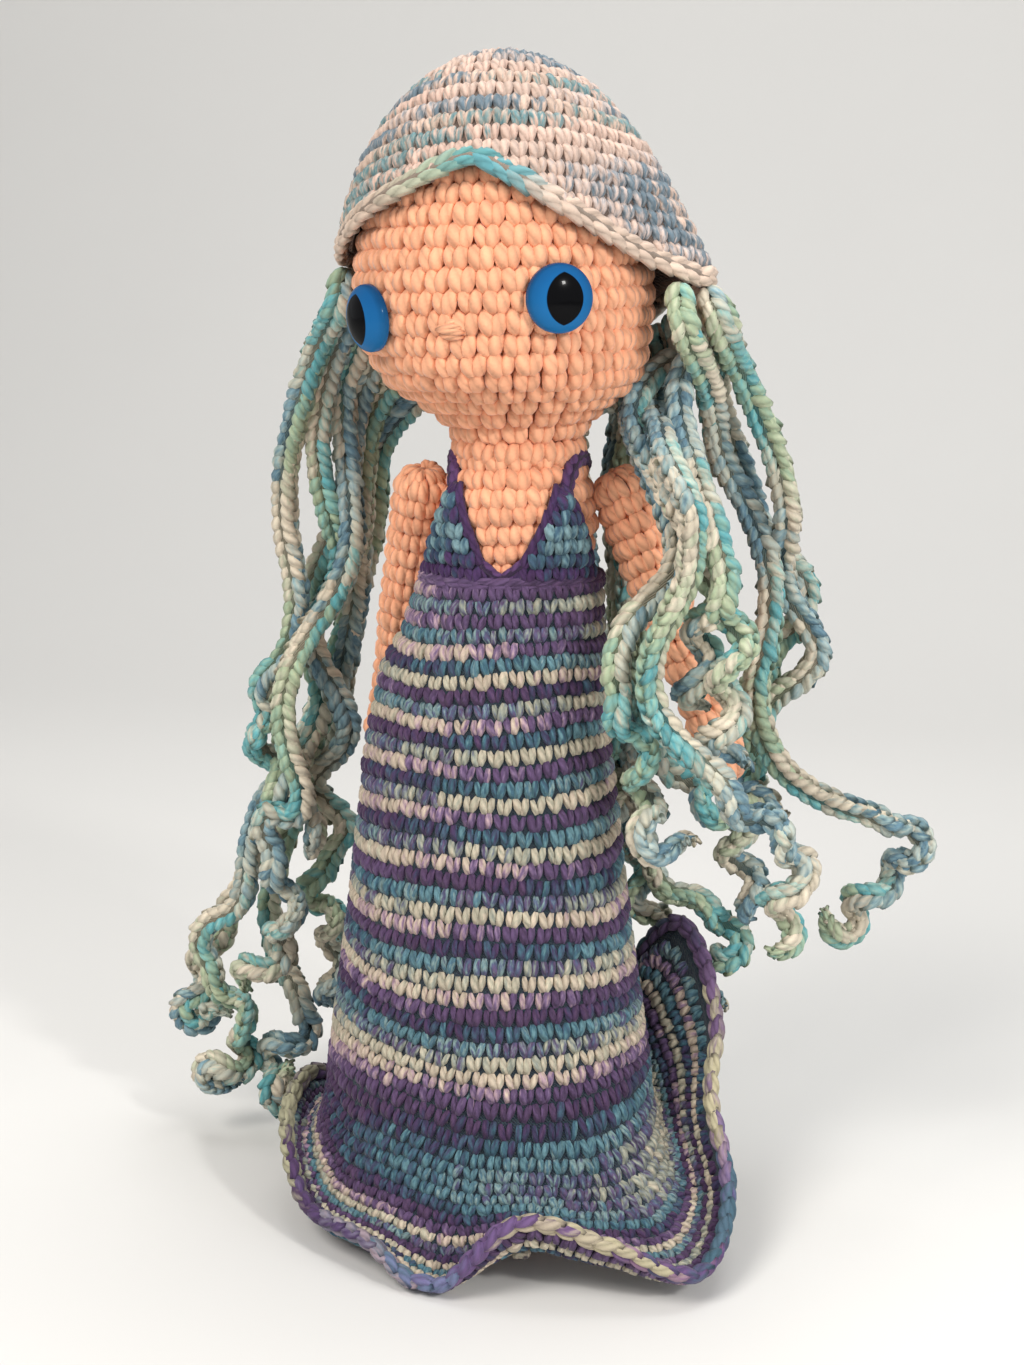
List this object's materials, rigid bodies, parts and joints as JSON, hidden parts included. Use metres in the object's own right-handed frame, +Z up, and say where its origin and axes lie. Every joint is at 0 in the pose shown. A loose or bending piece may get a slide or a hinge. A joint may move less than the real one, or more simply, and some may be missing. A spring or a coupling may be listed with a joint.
{
  "type": "crocheted doll",
  "caption": "Crocheted stuffed doll with glossy eyes, a wig cap with long curly strands of hair and a long halter gown with a flared hem.",
  "frame": {"origin": "on the floor under the middle of the whole part", "axes": "+Z up along the doll, face towards -Y, +X to the doll's left"},
  "size_m": [0.198, 0.1006, 0.2808],
  "materials": {
    "skin_yarn": "single crochet in peach yarn, matte and fuzzy",
    "stuffing": "loose white fibre filling",
    "eye_plastic": "clear glossy domes over blue with black pupils",
    "washer_plastic": "moulded white plastic",
    "cap_yarn": "crochet in variegated cream, slate blue and turquoise yarn",
    "edging_yarn": "chain edging in the same variegated yarns",
    "hair_yarn": "crocheted cords in variegated cream, sage and turquoise yarn",
    "gown_yarn": "crochet in variegated plum, slate, teal and sage yarn",
    "cup_yarn": "crochet in slate and teal yarn",
    "strap_yarn": "chain cord in plum yarn"
  },
  "bodies": {
    "torso": {"torso": "skin_yarn", "torso_stuffing": "stuffing", "gown": "gown_yarn", "hem_edging": "edging_yarn", "cup_left": "cup_yarn", "cup_right": "cup_yarn", "strap_left": "strap_yarn", "strap_right": "strap_yarn", "neckline_chain": "strap_yarn"},
    "neck": {"neck_wad": "stuffing"},
    "head": {"head": "skin_yarn", "head_stuffing": "stuffing", "eye_left": "eye_plastic", "eye_right": "eye_plastic", "eye_washer_left": "washer_plastic", "eye_washer_right": "washer_plastic", "nose": "skin_yarn", "neck_stitches": "skin_yarn", "wig_cap": "cap_yarn", "cap_edging": "edging_yarn", "hair_front_left_a": "hair_yarn", "hair_front_left_b": "hair_yarn", "hair_front_left_c": "hair_yarn", "hair_front_left_d": "hair_yarn", "hair_side_left_a": "hair_yarn", "hair_side_left_b": "hair_yarn", "hair_side_left_c": "hair_yarn", "hair_side_left_d": "hair_yarn", "hair_side_left_e": "hair_yarn", "hair_side_left_f": "hair_yarn", "hair_side_right_a": "hair_yarn", "hair_side_right_b": "hair_yarn", "hair_side_right_c": "hair_yarn", "hair_side_right_d": "hair_yarn", "hair_side_right_e": "hair_yarn", "hair_side_right_f": "hair_yarn", "hair_back_a": "hair_yarn", "hair_back_b": "hair_yarn", "hair_back_c": "hair_yarn", "hair_back_d": "hair_yarn", "hair_back_e": "hair_yarn"},
    "arm_left": {"arm_left": "skin_yarn", "arm_stuffing_left": "stuffing"},
    "arm_right": {"arm_right": "skin_yarn", "arm_stuffing_right": "stuffing"},
    "leg_left": {"leg_left": "skin_yarn", "leg_stuffing_left": "stuffing"},
    "leg_right": {"leg_right": "skin_yarn", "leg_stuffing_right": "stuffing"}
  },
  "joints": [
    {"name": "head_turn", "type": "hinge", "parent": "torso", "child": "neck", "pos_m": [0.00189, 0.00202, 0.1825], "axis": [0, 0, 1], "range_deg": [-15, 15], "deforming": ["hair_front_left_a", "hair_front_left_b", "hair_front_left_c", "hair_front_left_d", "hair_side_left_a", "hair_side_left_b", "hair_side_left_c", "hair_side_left_d", "hair_side_left_e", "hair_side_left_f", "hair_side_right_a", "hair_side_right_b", "hair_side_right_c", "hair_side_right_d", "hair_side_right_e", "hair_side_right_f", "hair_back_a", "hair_back_b", "hair_back_c", "hair_back_d", "hair_back_e"]},
    {"name": "head_nod", "type": "hinge", "parent": "neck", "child": "head", "pos_m": [0.00189, 0.00202, 0.1825], "axis": [1, 0, 0], "range_deg": [-8, 12]},
    {"name": "arm_left_raise", "type": "hinge", "parent": "torso", "child": "arm_left", "pos_m": [0.02586, 0.00652, 0.18], "axis": [0, -1, 0], "range_deg": [-4, 60]},
    {"name": "arm_right_raise", "type": "hinge", "parent": "torso", "child": "arm_right", "pos_m": [-0.02214, 0.00652, 0.18], "axis": [0, 1, 0], "range_deg": [0, 60]},
    {"name": "leg_left_swing", "type": "hinge", "parent": "torso", "child": "leg_left", "pos_m": [0.00589, 0.00202, 0.0955], "axis": [1, 0, 0], "range_deg": [-6, 6]},
    {"name": "leg_right_swing", "type": "hinge", "parent": "torso", "child": "leg_right", "pos_m": [-0.01731, 0.00202, 0.0955], "axis": [1, 0, 0], "range_deg": [-6, 6]}
  ]
}
